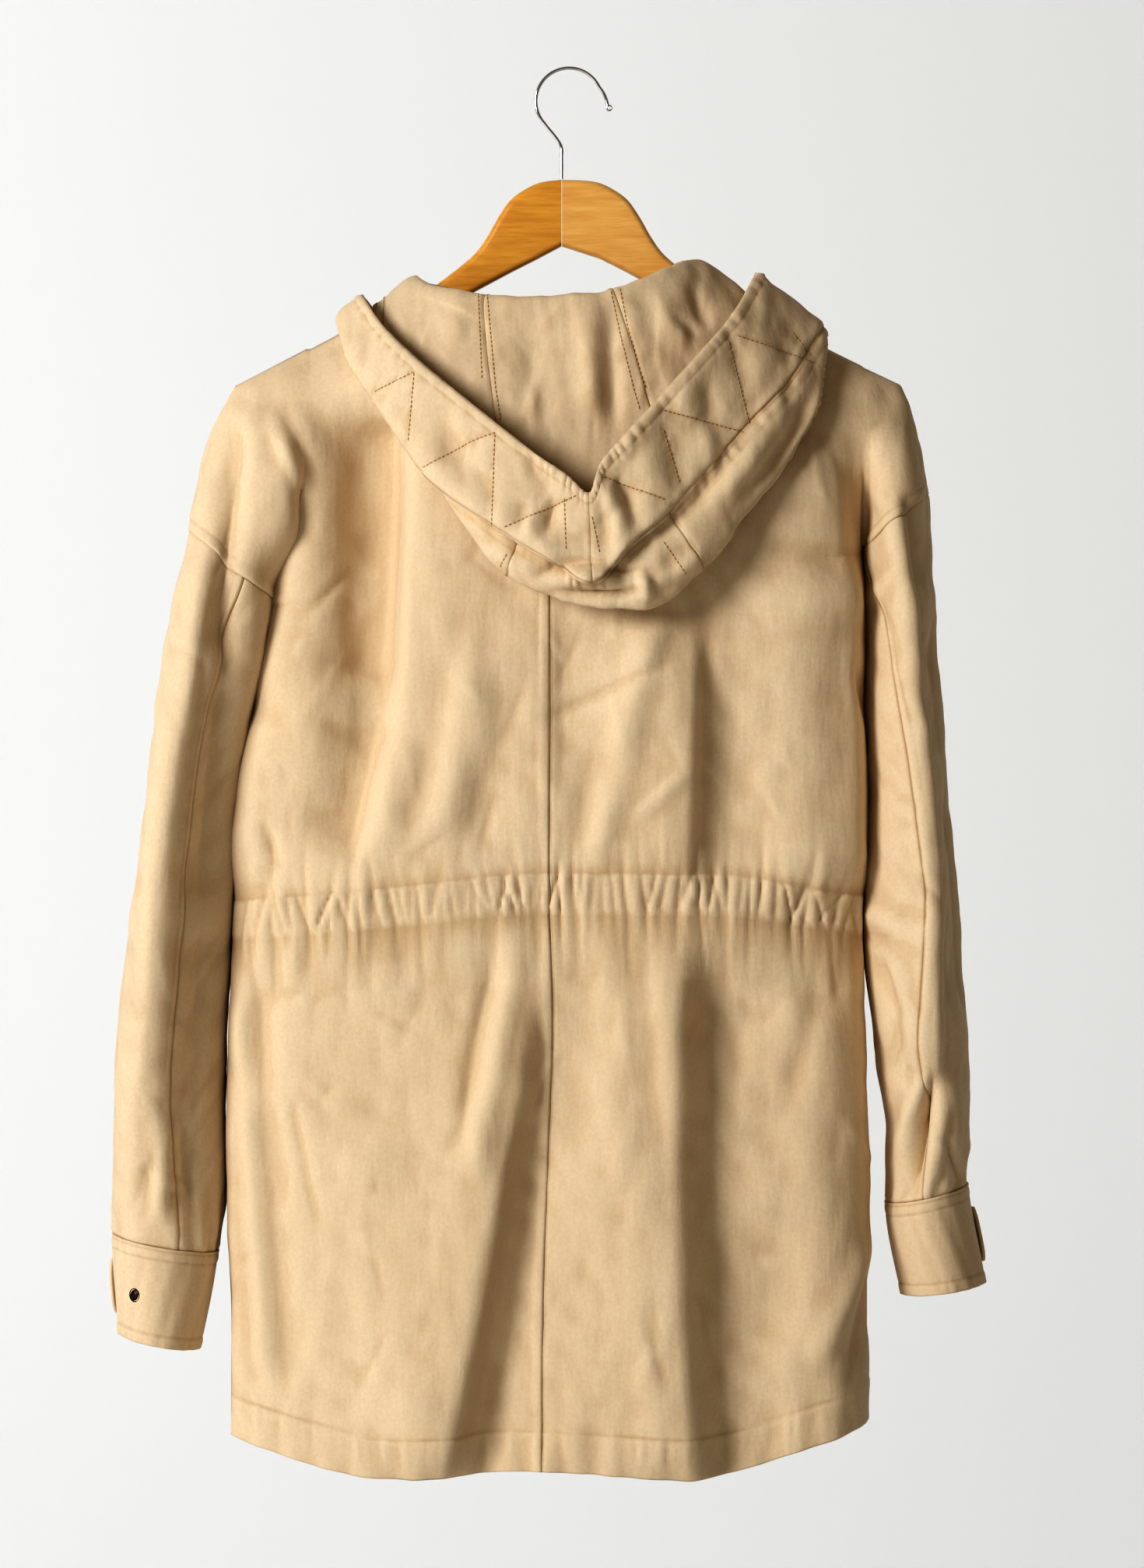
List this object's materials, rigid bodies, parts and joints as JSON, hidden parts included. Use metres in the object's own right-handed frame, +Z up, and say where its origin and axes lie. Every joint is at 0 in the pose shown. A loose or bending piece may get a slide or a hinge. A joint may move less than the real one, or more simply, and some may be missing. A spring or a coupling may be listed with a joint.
{
  "type": "hooded parka coat on a wooden hanger",
  "caption": "Thigh-length cotton coat with a hood, drawn waist and dropped shoulders, hanging on a flat wooden hanger with a wire hook.",
  "frame": {"origin": "underside of the hook's bow, where a rod bears", "axes": "+Z up, +X to the right of someone who looks at the coat's back, +Y towards the coat's front"},
  "size_m": [0.5952, 0.1828, 0.9501],
  "materials": {
    "cotton_twill": "matt khaki cotton twill",
    "dark_bronze": "dark bronze snaps",
    "honey_wood": "lacquered, honey-coloured",
    "pale_wood": "lacquered, pale",
    "chrome_wire": "polished wire"
  },
  "bodies": {
    "root": {"back_left": "cotton_twill", "back_right": "cotton_twill", "front_left": "cotton_twill", "front_right": "cotton_twill", "sleeve_left_top": "cotton_twill", "sleeve_left_under": "cotton_twill", "sleeve_right_top": "cotton_twill", "sleeve_right_under": "cotton_twill", "cuff_left": "cotton_twill", "cuff_right": "cotton_twill", "cuff_tab_left": "cotton_twill", "cuff_tab_right": "cotton_twill", "cuff_snap_left": "dark_bronze", "cuff_snap_right": "dark_bronze", "hood_band_left": "cotton_twill", "hood_band_right": "cotton_twill", "hood_side_left": "cotton_twill", "hood_side_right": "cotton_twill", "hood_centre": "cotton_twill", "placket": "cotton_twill", "placket_snap_1": "dark_bronze", "placket_snap_2": "dark_bronze", "placket_snap_3": "dark_bronze", "placket_snap_4": "dark_bronze", "placket_snap_5": "dark_bronze", "placket_snap_6": "dark_bronze", "hanger_left": "honey_wood", "hanger_right": "pale_wood", "hook": "chrome_wire"}
  },
  "joints": []
}
